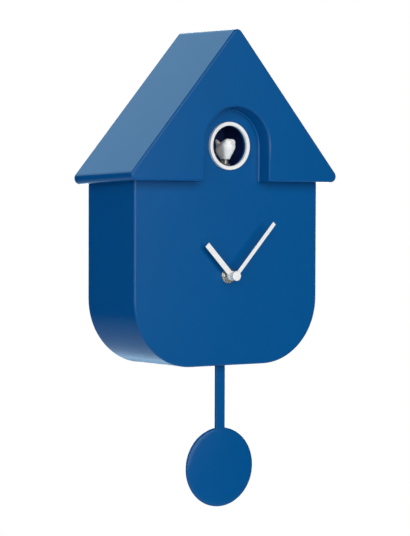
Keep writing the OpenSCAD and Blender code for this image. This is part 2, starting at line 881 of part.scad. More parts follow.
module movement_front_case() {
    color("#202226") at_hands() difference() {
        layer(movement_split, movement_front) plate(0, 0, movement_half, movement_half);
        layer(movement_split - over, movement_in_front)
            plate(0, 0, movement_half - movement_wall, movement_half - movement_wall);
        post(bushing_r, movement_split, movement_front + over);
        for (at = [minute_wheel_at, knob_at, third_at, second_at, step_at, rotor_at]) pivot_holes(at);
    }
}

module movement_rear_case() {
    room_top = movement_half - movement_wall;
    room_low = shelf_z + shelf_t / 2;
    bay_top = shelf_z - shelf_t / 2;
    color("#25272b") at_hands() {
        difference() {
            layer(movement_back, movement_split) plate(0, 0, movement_half, movement_half);
            // the gears' room
            layer(movement_in_back, movement_split + over)
                plate(0, (room_top + room_low) / 2, room_top, (room_top - room_low) / 2);
            // the battery's bay is open to the back
            layer(movement_back - over, movement_split + over)
                plate(0, (bay_top - room_top) / 2, room_top, (bay_top + room_top) / 2);
            for (at = [[0, 0], third_at, second_at, step_at, rotor_at]) pivot_holes(at);
            post(1 + play, movement_back - over, movement_in_back + over, knob_at[0], knob_at[1]);
        }
        // shelf between the gears and the battery
        layer(movement_split - seat, movement_in_front - seat)
            plate(0, shelf_z, room_top - seat, shelf_t / 2);
    }
}

module hand_bushing() {
    color("#c9a24a") at_hands() difference() {
        union() {
            post(bushing_r, movement_in_front, nut_front + 0.6);
            post(bushing_r - 0.35, nut_front + 0.6, nut_front + 1);
        }
        post(tube_r + play, movement_in_front - over, nut_front + 2);
    }
}

module dial_gasket() {
    color("#111111") at_hands() difference() {
        post(12, movement_front, plate_in);
        post(bushing_r, movement_front - over, plate_in + over);
    }
}

module bushing_washer() {
    color("#c9a24a") at_hands() difference() {
        post(6.5, body_depth, body_depth + washer_t);
        post(bushing_r, body_depth - over, body_depth + washer_t + over);
    }
}

module bushing_nut() {
    color("#b9ab86") at_hands() difference() {
        layer(body_depth + washer_t, nut_front) circle(6.3, $fn = 6);
        post(bushing_r, body_depth, nut_front + over);
    }
}

// The minute hand's shaft, with the pinion that drives the hands' gears
module minute_arbor() {
    color("#d5c48a") at_hands() {
        gear_in(1, cannon_n, hand_module, 0);
        post(shaft_r, layer_at(3), minute_depth + hand_t + 0.6);
        post(0.8, movement_in_back + play, layer_at(3));
        post(pivot_r, movement_in_back - pivot_len + play, movement_in_back + over);
    }
}

module hand_blade(length, width, depth, at) {
    layer(depth, depth + hand_t) rotate(90 - at) translate([0, -width / 2]) square([length, width]);
}

module minute_hand() {
    color("white") at_hands() difference() {
        union() {
            hand_blade(minute_len, minute_w, minute_depth, minute_at);
            post(minute_boss_r, hour_depth + hand_t + 1.5, minute_depth + hand_t);
        }
        post(shaft_r, hour_depth, minute_depth + hand_t + over);
    }
}

module hand_cap() {
    color("white") at_hands() difference() {
        post(cap_r, minute_depth + hand_t, minute_depth + hand_t + cap_t);
        post(shaft_r, minute_depth, minute_depth + hand_t + 0.6);
    }
}

module hour_wheel() {
    color("#e8e4d4") at_hands() difference() {
        union() {
            gear_in(0, hour_wheel_n, hand_module, hour_wheel_turn);
            post(tube_r, layer_at(0), hour_depth + hand_t + 0.4);
        }
        post(shaft_r + 0.1, layer_at(0) - over, hour_depth + hand_t + over);
    }
}

module hour_hand() {
    color("white") at_hands() difference() {
        union() {
            hand_blade(hour_len, hour_w, hour_depth, hour_at);
            post(hour_boss_r, hour_depth - hour_boss_t / 2, hour_depth + hand_t + 0.4);
        }
        post(tube_r, hour_depth - hour_boss_t, hour_depth + hand_t + over);
    }
}

module minute_wheel() {
    x = minute_wheel_at[0];
    z = minute_wheel_at[1];
    color("#e8e4d4") at_hands() {
        gear_in(1, minute_wheel_n, hand_module, minute_wheel_turn, minute_wheel_at);
        gear_in(0, minute_pinion_n, hand_module, 0, minute_wheel_at);
        post(1, layer_at(1) - 0.4, layer_at(0), x, z);
        post(pivot_r, layer_at(0), movement_in_front + pivot_len - play, x, z);
    }
}

module set_knob() {
    x = knob_at[0];
    z = knob_at[1];
    knob_back = movement_back - 5.5;
    color("#d9dadc") at_hands() {
        gear_in(1, knob_pinion_n, hand_module, knob_turn, knob_at);
        post(1, movement_back - 1, layer_at(1), x, z);
        post(pivot_r, layer_at(1), movement_in_front + pivot_len - play, x, z);
        difference() {
            post(6, knob_back, movement_back - 0.5, x, z);
            for (k = [0:11]) post(0.8, knob_back - over, movement_back,
                x + 6.2 * cos(k * 30), z + 6.2 * sin(k * 30));
        }
    }
}

// Rides on the minute arbor by friction, so the hands can be set
module centre_wheel() {
    color("#d8b45a") at_hands() difference() {
        union() {
            gear_in(2, centre_n, train_module, 0);
            post(2.4, layer_at(2) - 0.5, layer_at(2) + gear_t);
        }
        post(shaft_r + play, layer_at(2) - over, layer_at(2) + gear_t + over);
    }
}

module third_wheel() {
    color("#e8e4d4") at_hands()
        wheel_and_pinion(third_at, 3, third_n, 2, pinion_n, train_module, 0, third_pinion_turn);
}

module second_wheel() {
    color("#e8e4d4") at_hands()
        wheel_and_pinion(second_at, 4, second_n, 3, pinion_n, train_module, 0, second_pinion_turn);
}

module step_wheel() {
    color("#e8e4d4") at_hands()
        wheel_and_pinion(step_at, 5, step_n, 4, step_pinion_n, train_module, 0, step_pinion_turn);
}

rotor_back = layer_at(4);
rotor_front = layer_at(3) + gear_t;

module rotor() {
    color("#55585c") at_hands() {
        gear_in(5, pinion_n, train_module, rotor_pinion_turn, rotor_at);
        arbor(rotor_at);
        post(2.5, rotor_back, rotor_front, rotor_at[0], rotor_at[1]);
    }
}

coil_z = -7;
coil_r = 2.2;
stator_depth = (rotor_back + rotor_front) / 2;

module stator_plate() {
    block_top = rotor_at[1] + 4;
    color("#9aa0a6") at_hands() layer(stator_depth - 0.5, stator_depth + 0.5) difference() {
        union() {
            translate([-11, coil_z - 1]) square([rotor_at[0] + 4.5 + 11, 2]);
            translate([rotor_at[0] - 4.5, coil_z - 1]) square([9, block_top - coil_z + 1]);
        }
        translate(rotor_at) circle(3);
    }
}

module stator_coil() {
    color("#b5652b") at_hands() translate([0, -stator_depth, coil_z]) difference() {
        bar_x(coil_r, -9, rotor_at[0] - 5.5);
        translate([-9 - over, -0.6, -1.1]) cube([rotor_at[0] + 9, 1.2, 2.2]);
    }
}

movement_board_back = movement_in_back + 2;

module movement_board() {
    front = movement_board_back + 1;
    color("#2f6b3c") at_hands() {
        layer(movement_board_back, front) plate(-15, 19, 9.5, 6);
        layer(front, front + 1.2) plate(-12, 19, 2.5, 2.5);
    }
}

module quartz_crystal() {
    color("silver") at_hands() translate([0, -movement_board_back - 2, 22]) bar_x(1, -22, -16);
}

module movement_battery() {
    color("#3a6b45") at_hands() translate([0, -aa_depth, aa_z]) cell();
}

module movement_contacts() {
    color("silver") at_hands() for (side = [-1, 1])
        layer(aa_depth - 4, aa_depth + 4) plate(side * (aa_len / 2 + 0.45), aa_z, 0.25, 5);
}

// ---- pendulum ----

module pendulum_bracket() {
    coil_ear_z = drive_z - 6;
    color("#202226") difference() {
        union() {
            layer(ear_back, ear_front + ear_t) plate(0, bracket_z - 1, bracket_half, 1);
            layer(ear_front, ear_front + ear_t)
                plate(0, (bracket_z - 2 + coil_ear_z) / 2, bracket_half, (bracket_z - 2 - coil_ear_z) / 2);
            layer(ear_back, ear_back + ear_t)
                plate(0, pivot_z + 0.5, bracket_half, 4.5);
        }
        post(pin_r, ear_back - over, ear_front + ear_t + over, 0, pivot_z);
    }
}

module pendulum_pin() {
    color("silver") post(pin_r, ear_back, ear_front + ear_t, 0, pivot_z);
}

module pendulum_hanger() {
    back = pendulum_depth - hanger_t / 2;
    color("#dcdcd6") difference() {
        union() {
            post(3, back, back + hanger_t, 0, pivot_z);
            layer(back, back + hanger_t) plate(0, pivot_z - hanger_len / 2, 3, hanger_len / 2);
        }
        post(pin_r + play, back - over, back + hanger_t + over, 0, pivot_z);
        layer(pendulum_depth - bar_t / 2 - play, pendulum_depth + bar_t / 2 + play)
            plate(0, bar_top - 20 + play, 4, 20);
    }
}

module pendulum_magnet() {
    front = pendulum_depth + hanger_t / 2;
    color("#a9adb2") post(2.5, front, ear_front - coil_t - gap, 0, drive_z);
}

module pendulum_coil() {
    color("#b5652b") difference() {
        post(4.5, ear_front - coil_t, ear_front, 0, drive_z);
        post(1.5, ear_front - coil_t - over, ear_front + over, 0, drive_z);
    }
}

module pendulum_bar() {
    low = disc_z + disc_r - bar_in_disc;
    color("#0b508a") layer(pendulum_depth - bar_t / 2, pendulum_depth + bar_t / 2)
        translate([-bar_w / 2, low]) square([bar_w, bar_top - low]);
}

module pendulum_disc() {
    low = disc_z + disc_r - bar_in_disc;
    color("#0b508a") difference() {
        translate([0, -pendulum_depth, disc_z]) rotate([90, 0, 0]) rotate_extrude() {
            translate([0, -disc_t / 2]) square([disc_r - disc_t / 2, disc_t]);
            intersection() {
                translate([disc_r - disc_t / 2, 0]) circle(disc_t / 2);
                translate([0, -disc_t]) square([disc_r, 2 * disc_t]);
            }
        }
        layer(pendulum_depth - bar_t / 2 - play, pendulum_depth + bar_t / 2 + play)
            translate([-bar_w / 2 - play, low]) square([bar_w + 2 * play, bar_in_disc + over]);
    }
}

roof_shell();
body_shell();
rear_cover();
window_ring();
case_screws();
bird();
bird_peg();
bird_rocker();
rocker_magnet();
rocker_pin();
bird_chamber();
solenoid_bobbin();
solenoid_coil();
solenoid_core();
chamber_screws();
movement_front_case();
movement_rear_case();
hand_bushing();
dial_gasket();
bushing_washer();
bushing_nut();
minute_arbor();
minute_hand();
hand_cap();
hour_wheel();
hour_hand();
minute_wheel();
set_knob();
centre_wheel();
third_wheel();
second_wheel();
step_wheel();
rotor();
stator_plate();
stator_coil();
movement_board();
quartz_crystal();
movement_battery();
movement_contacts();
pendulum_bracket();
pendulum_pin();
pendulum_hanger();
pendulum_magnet();
pendulum_coil();
pendulum_bar();
pendulum_disc();
service_door();
battery_door();
battery_box();
sound_batteries();
sound_contacts();
sound_board();
sound_chips();
volume_slider();
mode_switch();
speaker_basket();
speaker_cone();
speaker_magnet();
light_sensor();
wires();
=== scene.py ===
"""Looks of a gabled wall cuckoo clock, built round its CAD frame.

Lengths in this script are in millimetres until MM turns them into metres. Depths are counted from
the wall (y = 0) towards the front, as in the CAD frame, so a depth d lies at y = -d.
"""
import json
import math

import bmesh
import bpy
from mathutils import Matrix, Vector

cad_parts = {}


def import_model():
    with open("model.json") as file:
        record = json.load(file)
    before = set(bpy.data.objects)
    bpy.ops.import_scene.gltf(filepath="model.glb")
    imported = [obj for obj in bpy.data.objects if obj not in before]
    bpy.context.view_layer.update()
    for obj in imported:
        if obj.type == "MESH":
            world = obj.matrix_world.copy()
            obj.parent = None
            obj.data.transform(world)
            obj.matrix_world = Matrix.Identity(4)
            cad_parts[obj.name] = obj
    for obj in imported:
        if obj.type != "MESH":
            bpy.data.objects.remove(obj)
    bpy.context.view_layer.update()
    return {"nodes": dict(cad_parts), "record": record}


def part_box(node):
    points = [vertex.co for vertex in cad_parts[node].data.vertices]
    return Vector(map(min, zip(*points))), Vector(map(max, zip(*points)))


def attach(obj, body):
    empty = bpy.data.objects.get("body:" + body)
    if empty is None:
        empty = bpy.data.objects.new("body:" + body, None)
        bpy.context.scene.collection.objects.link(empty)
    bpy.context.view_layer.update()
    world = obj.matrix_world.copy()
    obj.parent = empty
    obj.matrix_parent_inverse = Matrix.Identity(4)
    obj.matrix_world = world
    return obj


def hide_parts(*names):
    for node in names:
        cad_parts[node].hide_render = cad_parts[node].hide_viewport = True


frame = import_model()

MM = 0.001
NODES = frame["nodes"]


# ---- camera: angles in degrees, distance and aim in mm --------------------------------------

AZIMUTH = -33.80
ELEVATION = 1.954
ROLL = 0.188
DISTANCE = 1704.4
AIM = (-2.3, -40.2, -144.4)
LENS = 133.86
SENSOR = 36.0


def make_camera():
    a, e, r = (math.radians(v) for v in (AZIMUTH, ELEVATION, ROLL))
    back = Vector((math.sin(a) * math.cos(e), -math.cos(a) * math.cos(e), math.sin(e)))
    level = Vector((math.cos(a), math.sin(a), 0))
    right = level * math.cos(r) + back.cross(level) * math.sin(r)
    up = back.cross(right)
    data = bpy.data.cameras.new("camera")
    data.lens = LENS
    data.sensor_width = SENSOR
    data.sensor_fit = "AUTO"
    data.clip_start = 0.05
    data.clip_end = 50
    camera = bpy.data.objects.new("camera", data)
    bpy.context.scene.collection.objects.link(camera)
    place = Matrix((right, up, back)).transposed().to_4x4()
    place.translation = (Vector(AIM) + back * DISTANCE) * MM
    camera.matrix_world = place
    bpy.context.scene.camera = camera


# ---- outlines and meshes ------------------------------------------------------------------

def inset_loop(corners, inset, steps):
    """Points of a closed outline with rounded corners, moved inwards by inset.

    corners are (x, z, radius, ...), anticlockwise as seen from the front. A corner with a radius
    gives steps + 1 points at every inset, and a sharp one gives one, so loops of one outline match.
    Each point comes with its corner, for what else the corner says.
    """
    points = []
    count = len(corners)
    for k, corner in enumerate(corners):
        here = Vector(corner[:2])
        d1 = (here - Vector(corners[k - 1][:2])).normalized()
        d2 = (Vector(corners[(k + 1) % count][:2]) - here).normalized()
        n1, n2 = Vector((-d1.y, d1.x)), Vector((-d2.y, d2.x))
        turn = math.atan2(d1.x * d2.y - d1.y * d2.x, d1.dot(d2))
        tip = here + (n1 + n2) * (inset / (1 + n1.dot(n2)))
        if corner[2] <= 0:
            points.append((tip, corner))
            continue
        side = 1 if turn > 0 else -1
        radius = max(corner[2] - side * inset, 0.0)
        start = tip - d1 * radius * math.tan(abs(turn) / 2)
        centre = start + n1 * side * radius
        for step in range(steps + 1):
            angle = turn * step / steps
            arm = start - centre
            points.append((centre + Vector((
                arm.x * math.cos(angle) - arm.y * math.sin(angle),
                arm.x * math.sin(angle) + arm.y * math.cos(angle))), corner))
    return points


def quarter(radius, steps):
    """(inset, rise) pairs along a quarter-round edge, from its flat face to its side."""
    angles = [math.pi / 2 * k / steps for k in range(steps + 1)]
    return [(radius * (1 - math.sin(a)), radius * (1 - math.cos(a))) for a in angles]


def mesh_from_rings(name, rings, caps=(True, True)):
    """A closed mesh from loops of (x, depth, z) points in mm that all have one count."""
    bm = bmesh.new()
    loops = [[bm.verts.new((x * MM, -d * MM, z * MM)) for x, d, z in ring] for ring in rings]
    for near, far in zip(loops, loops[1:]):
        for k in range(len(near)):
            j = (k + 1) % len(near)
            bm.faces.new((near[k], near[j], far[j], far[k]))
    if caps[0]:
        bm.faces.new(loops[0][::-1])
    if caps[1]:
        bm.faces.new(loops[-1])
    return finish_mesh(name, bm)


def finish_mesh(name, bm, merge=0.002):
    bmesh.ops.remove_doubles(bm, verts=bm.verts, dist=merge * MM)
    bmesh.ops.dissolve_degenerate(bm, dist=merge * MM, edges=bm.edges)
    bmesh.ops.recalc_face_normals(bm, faces=bm.faces)
    data = bpy.data.meshes.new(name)
    bm.to_mesh(data)
    bm.free()
    piece = bpy.data.objects.new(name, data)
    bpy.context.scene.collection.objects.link(piece)
    return piece


def slab(name, corners, back, front, edge=0.3, back_edge=None, steps=4, round_steps=3, centre=(0, 0)):
    """A flat piece between two depths, with rounded edges on both faces."""
    back_edge = edge if back_edge is None else back_edge
    rings = []
    for inset, rise in quarter(edge, round_steps):
        rings.append((inset, front - rise))
    for inset, rise in reversed(quarter(back_edge, round_steps)):
        rings.append((inset, back + rise))
    return mesh_from_rings(name, [
        [(centre[0] + p.x, depth, centre[1] + p.y) for p, _ in inset_loop(corners, inset, steps)]
        for inset, depth in rings])


def box_corners(half_w, half_h, radius=0.0, centre=(0.0, 0.0)):
    x, z = centre
    return [(x - half_w, z - half_h, radius), (x + half_w, z - half_h, radius),
            (x + half_w, z + half_h, radius), (x - half_w, z + half_h, radius)]


def lathe(name, profile, centre, segments=96):
    """Turns a closed (radius, depth) profile about an axis that points at the wall."""
    x, z = centre
    bm = bmesh.new()
    rings = []
    for k in range(segments):
        a = 2 * math.pi * k / segments
        rings.append([bm.verts.new(((x + r * math.cos(a)) * MM, -d * MM, (z + r * math.sin(a)) * MM))
                      for r, d in profile])
    for k in range(segments):
        near, far = rings[k], rings[(k + 1) % segments]
        for j in range(len(profile)):
            i = (j + 1) % len(profile)
            if profile[j][0] < 1e-6 and profile[i][0] < 1e-6:
                continue
            bm.faces.new((near[j], near[i], far[i], far[j]))
    return finish_mesh(name, bm)


def rounded_profile(points, steps=4):
    """A closed (radius, depth, fillet) profile with its fillets drawn as arcs."""
    return [(p.x, p.y) for p, _ in inset_loop(points, 0, steps)]


def combine(name, pieces):
    """One object from several, which are removed."""
    bm = bmesh.new()
    for piece in pieces:
        bm.from_mesh(piece.data)
        bpy.data.objects.remove(piece)
    data = bpy.data.meshes.new(name)
    bm.to_mesh(data)
    bm.free()
    whole = bpy.data.objects.new(name, data)
    bpy.context.scene.collection.objects.link(whole)
    return whole


def cut(piece, tool, operation="DIFFERENCE"):
    """Applies an exact Boolean with a tool object, which is removed."""
    modifier = piece.modifiers.new("cut", "BOOLEAN")
    modifier.object = tool
    modifier.operation = operation
    modifier.solver = "EXACT"
    bake(piece)
    bpy.data.objects.remove(tool)


def bake(piece):
    """Turns a piece's modifiers into its mesh."""
    graph = bpy.context.evaluated_depsgraph_get()
    data = bpy.data.meshes.new_from_object(piece.evaluated_get(graph))
    piece.modifiers.clear()
    piece.data = data


def dress(piece, body, slot, *nodes, sharp=32):
    """Gives a piece its shading, material and body, and hides the CAD nodes that it stands for."""
    for polygon in piece.data.polygons:
        polygon.use_smooth = True
    piece.data.set_sharp_from_angle(angle=math.radians(sharp))
    weighted = piece.modifiers.new("even_normals", "WEIGHTED_NORMAL")
    weighted.keep_sharp = True
    weighted.weight = 80
    piece.data.materials.clear()
    piece.data.materials.append(MATERIALS[slot])
    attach(piece, body)
    if nodes:
        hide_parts(*nodes)
    return piece


# ---- materials ----------------------------------------------------------------------------

def new_material(name):
    material = bpy.data.materials.new(name)
    material.use_nodes = True
    tree = material.node_tree
    shader = tree.nodes["Principled BSDF"]
    place = tree.nodes.new("ShaderNodeTexCoord")
    return material, tree, shader, place.outputs["Object"]


def noise(tree, place, size, detail=2.0, rough=0.5):
    """Noise whose features are about size mm across."""
    node = tree.nodes.new("ShaderNodeTexNoise")
    node.inputs["Scale"].default_value = 1 / (size * MM)
    node.inputs["Detail"].default_value = detail
    node.inputs["Roughness"].default_value = rough
    tree.links.new(place, node.inputs["Vector"])
    return node.outputs["Fac"]


def spread(tree, value, low, high, from_low=0.3, from_high=0.7):
    """Maps noise to a range."""
    node = tree.nodes.new("ShaderNodeMapRange")
    node.inputs["From Min"].default_value = from_low
    node.inputs["From Max"].default_value = from_high
    node.inputs["To Min"].default_value = low
    node.inputs["To Max"].default_value = high
    tree.links.new(value, node.inputs["Value"])
    return node.outputs["Result"]


def tint(tree, value, dark, light):
    """Blends two colours by a value."""
    node = tree.nodes.new("ShaderNodeMix")
    node.data_type = "RGBA"
    node.inputs[6].default_value = (*dark, 1)
    node.inputs[7].default_value = (*light, 1)
    tree.links.new(value, node.inputs["Factor"])
    return node.outputs[2]


def bump(tree, shader, height, depth, strength=1.0):
    """Bump whose height runs over depth mm."""
    node = tree.nodes.new("ShaderNodeBump")
    node.inputs["Strength"].default_value = strength
    node.inputs["Distance"].default_value = depth * MM
    tree.links.new(height, node.inputs["Height"])
    tree.links.new(node.outputs["Normal"], shader.inputs["Normal"])


def scaled(colour, factor):
    return tuple(min(1.0, c * factor) for c in colour)


def moulded(name, colour, roughness, grain=0.35, relief=0.012, vary=0.05, specular=0.5):
    """Moulded plastic: a fine eroded grain, slow colour variation and slightly uneven gloss."""
    material, tree, shader, place = new_material(name)
    shade = noise(tree, place, 38, detail=3)
    tree.links.new(tint(tree, spread(tree, shade, 0, 1), scaled(colour, 1 - vary), scaled(colour, 1 + vary)),
                   shader.inputs["Base Color"])
    gloss = noise(tree, place, 3.5, detail=4, rough=0.6)
    tree.links.new(spread(tree, gloss, roughness * 0.92, roughness * 1.08), shader.inputs["Roughness"])
    bump(tree, shader, noise(tree, place, grain, detail=3, rough=0.55), relief)
    shader.inputs["Specular IOR Level"].default_value = specular
    return material


def metal(name, colour, roughness, stretch=(1, 1, 1), scratch=0.4, relief=0.004):
    """Metal with fine machining marks, drawn out along an axis by stretch."""
    material, tree, shader, place = new_material(name)
    mapping = tree.nodes.new("ShaderNodeMapping")
    mapping.inputs["Scale"].default_value = stretch
    tree.links.new(place, mapping.inputs["Vector"])
    marks = noise(tree, mapping.outputs["Vector"], scratch, detail=4, rough=0.6)
    tree.links.new(tint(tree, spread(tree, marks, 0, 1), scaled(colour, 0.85), scaled(colour, 1.1)),
                   shader.inputs["Base Color"])
    tree.links.new(spread(tree, marks, roughness * 0.8, roughness * 1.25), shader.inputs["Roughness"])
    shader.inputs["Metallic"].default_value = 1.0
    bump(tree, shader, marks, relief)
    return material


def winding(name, colour):
    """Enamelled wire wound in close turns."""
    material, tree, shader, place = new_material(name)
    waves = tree.nodes.new("ShaderNodeTexWave")
    waves.bands_direction = "Y"
    waves.inputs["Scale"].default_value = 1 / (0.8 * MM)
    waves.inputs["Distortion"].default_value = 0.6
    tree.links.new(place, waves.inputs["Vector"])
    bands = tint(tree, waves.outputs["Fac"], scaled(colour, 0.35), colour)
    tree.links.new(bands, shader.inputs["Base Color"])
    shader.inputs["Metallic"].default_value = 0.9
    shader.inputs["Roughness"].default_value = 0.3
    bump(tree, shader, waves.outputs["Fac"], 0.05)
    return material


def board(name, mask, track):
    """Solder mask over copper tracks."""
    material, tree, shader, place = new_material(name)
    cells = tree.nodes.new("ShaderNodeTexBrick")
    cells.inputs["Scale"].default_value = 1 / (9 * MM)
    cells.inputs["Mortar Size"].default_value = 0.05
    cells.inputs["Color1"].default_value = (*mask, 1)
    cells.inputs["Color2"].default_value = (*scaled(mask, 0.8), 1)
    cells.inputs["Mortar"].default_value = (*track, 1)
    turn = tree.nodes.new("ShaderNodeMapping")
    turn.inputs["Rotation"].default_value = (math.pi / 2, 0, 0)
    tree.links.new(place, turn.inputs["Vector"])
    tree.links.new(turn.outputs["Vector"], cells.inputs["Vector"])
    tree.links.new(cells.outputs["Color"], shader.inputs["Base Color"])
    shader.inputs["Roughness"].default_value = 0.3
    bump(tree, shader, noise(tree, place, 1.2), 0.02)
    return material


def printed_sleeve(name, body, band):
    """A cell's plain shrink sleeve in two colours, the second laid on in patches where a noise crosses a
    threshold.
    """
    material, tree, shader, place = new_material(name)
    shade = noise(tree, place, 14, detail=2)
    edge = spread(tree, shade, 0, 1, 0.52, 0.54)
    tree.links.new(tint(tree, edge, body, band), shader.inputs["Base Color"])
    shader.inputs["Roughness"].default_value = 0.28
    shader.inputs["Coat Weight"].default_value = 0.3
    bump(tree, shader, noise(tree, place, 2.5), 0.02)
    return material


def clear_lens(name, colour):
    material, tree, shader, place = new_material(name)
    shade = noise(tree, place, 2.0)
    tree.links.new(tint(tree, shade, scaled(colour, 0.92), colour), shader.inputs["Base Color"])
    shader.inputs["Roughness"].default_value = 0.08
    shader.inputs["Transmission Weight"].default_value = 0.8
    bump(tree, shader, shade, 0.01)
    return material


BLUE = (0.0, 0.080, 0.262)
MATERIALS = {
    "case_blue": moulded("satin_blue_abs", BLUE, 0.23, grain=0.30, relief=0.003, vary=0.02,
                         specular=0.25),
    "white_plastic": moulded("white_plastic", (0.83, 0.83, 0.82), 0.38, relief=0.004, vary=0.01),
    "grey_plastic": moulded("grey_plastic", (0.070, 0.072, 0.074), 0.5, relief=0.015),
    # dark_lining is a darker copy of the case blue: partly the chamber lining's own navy, partly painted
    # shade for the dim chamber behind the window
    "dark_lining": moulded("dark_lining", (0.006, 0.026, 0.15), 0.6, relief=0.01),
    "black_plastic": moulded("black_plastic", (0.014, 0.014, 0.016), 0.5, grain=0.5, relief=0.03),
    "knob_plastic": moulded("pale_plastic", (0.62, 0.63, 0.64), 0.4, relief=0.006),
    "gear_plastic": moulded("acetal", (0.72, 0.70, 0.60), 0.35, relief=0.004),
    "brass_metal": metal("nickelled_brass", (0.72, 0.68, 0.58), 0.24, stretch=(1, 6, 1)),
    "steel": metal("plated_steel", (0.58, 0.59, 0.61), 0.3),
    "magnet_metal": metal("nickel", (0.50, 0.51, 0.53), 0.2),
    "copper_wire": winding("copper_winding", (0.60, 0.22, 0.07)),
    "rubber_seal": moulded("rubber", (0.012, 0.012, 0.012), 0.8, relief=0.03),
    "circuit_board": board("circuit_board", (0.015, 0.13, 0.045), (0.05, 0.28, 0.10)),
    "chip_plastic": moulded("chip_plastic", (0.012, 0.012, 0.013), 0.6, relief=0.02),
    "cell_label": printed_sleeve("cell_label", (0.03, 0.16, 0.06), (0.55, 0.42, 0.10)),
    "speaker_paper": moulded("speaker_paper", (0.030, 0.030, 0.030), 0.9, grain=0.8, relief=0.08),
    "sensor_lens": clear_lens("sensor_lens", (0.88, 0.90, 0.92)),
    "wire_sleeve": moulded("wire_sleeve", (0.42, 0.025, 0.025), 0.45, relief=0.01),
}


def finish_cad_nodes():
    """The pieces that keep their CAD mesh get the material of their slot."""
    for entry in frame["record"]["subparts"]:
        node = NODES[entry["node"]]
        material = MATERIALS[entry["material_slot"]]
        if not node.material_slots:
            node.data.materials.append(material)
        for slot in node.material_slots:
            slot.material = material


# ---- places, from the frame ---------------------------------------------------------------

def corner_mm(node):
    low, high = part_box(node)
    return low / MM, high / MM


BODY_LOW, BODY_HIGH = corner_mm("body_shell")
ROOF_LOW = corner_mm("roof_shell")[0]
RING_LOW, RING_HIGH = corner_mm("window_ring")
EAVE = -70.6                    # height of the eaves, with the keyhole at 0
BODY_DEPTH = -BODY_LOW.y
ROOF_DEPTH = -ROOF_LOW.y
WINDOW = (0.0, (RING_LOW.z + RING_HIGH.z) / 2)
RING_R = (RING_HIGH.x - RING_LOW.x) / 2
HANDS = (0.0, (corner_mm("bushing_nut")[0].z + corner_mm("bushing_nut")[1].z) / 2)

WALL = 2.5
EDGE = 1.5                      # fillet along the front edges of both mouldings
BODY_DRAFT = 1.4                # how much further out each side is at the wall than at the front
ROOF_DRAFT = 4.4
CORNER_R = 55.8
SPIGOT_UP = 8.0                 # how far the body reaches up into the roof
BODY_RISE = 155.1
EAVE_OUT = 16.7
RIDGE_RISE = 129.9              # height of the ridge's sharp corner above the eaves
RIDGE_R = 5.4
EAVE_R = 4.9
ARCH_R = 32.8
ARCH_LEAN = 1.8                 # how much the arch narrows on each side towards the front plate
TONGUE_R = ARCH_R + 5           # the body's plate behind the arch
COVE_R = 1.2
WINDOW_R = 17.1
BUSHING_HOLE_R = 4.3
BUSHING_R = 4.0
SENSOR_HOLE_R = 2.6
SWING = math.radians(8)
SWING_ROOM = 1.4                # between the swinging bar and the end of its slot
BIRD_H = 17.4
DISC_CROWN = 1.0
SCREW_HEAD_R = 2.8
BODY_HALF = BODY_HIGH.x - BODY_DRAFT
ROOF_HALF = BODY_HALF + EAVE_OUT


def shell_rings(corners, depth, half, draft, inner, about):
    """Rings of a moulding with a filleted front, sides that widen towards the back, and an open back.

    A corner's fourth value is the depth at which its wall ends. Its fifth, if it has one, is how far
    its wall leans in towards the window instead of growing about the height given.
    """
    def ring(inset, depth_at, steps=20):
        loop = []
        for p, corner in inset_loop(corners, inset, steps):
            d = depth_at(corner[3])
            s = 1 + draft / half * (1 - d / depth)
            x, z = p.x * s, about + (p.y - about) * s
            if corner[4:]:
                lean = 1 - corner[4] / ARCH_R * (depth - d) / (depth - corner[3])
                x = p.x * lean
                if p.y > WINDOW[1]:
                    z = WINDOW[1] + (p.y - WINDOW[1]) * lean
            loop.append((x, d, z))
        return loop

    def front(rise):
        return lambda end: max(depth - rise, end)

    rings = [ring(inset, front(rise)) for inset, rise in quarter(EDGE, 5)]
    rim = 0.4
    rings += [ring(inset, lambda end, up=rise: end + up) for inset, rise in reversed(quarter(rim, 3))]
    rings.append(ring(WALL, lambda end: end))
    rings.append(ring(WALL, lambda end: max(inner, end)))
    return rings


def screw_post(x, z, front, radius=4.0):
    """A boss with a pilot hole, from the rear cover to a front wall."""
    pilot = 1.2
    back = WALL + 0.1
    pilot_end = 20
    return lathe("post", [(pilot, pilot_end), (0, pilot_end), (0, front), (radius, front), (radius, back),
                          (pilot, back)], (x, z), 32)


def cylinder_tool(centre, radius, back, front, segments=128):
    return lathe("tool", [(0, back), (radius, back), (radius, front), (0, front)], centre, segments)


def upright_tool(x, depth, radius, low, high):
    """A vertical cutting cylinder."""
    tool = lathe("tool", [(0, 0), (radius, 0), (radius, high - low), (0, high - low)], (0, 0), 48)
    tool.data.transform(Matrix.Translation(Vector((x, -depth, low)) * MM)
                        @ Matrix.Rotation(-math.pi / 2, 4, "X"))
    return tool


def screw_places():
    """(x, z) of the rear cover's screws, from top to bottom."""
    side, low = BODY_HALF - 12, EAVE - BODY_RISE + 13
    roof_side = ROOF_HALF * 0.6
    return [(0, EAVE + RIDGE_RISE - 26), (-roof_side, EAVE + 14), (roof_side, EAVE + 14),
            (-side, EAVE - 38), (side, EAVE - 38),
            (-40, low), (40, low)]


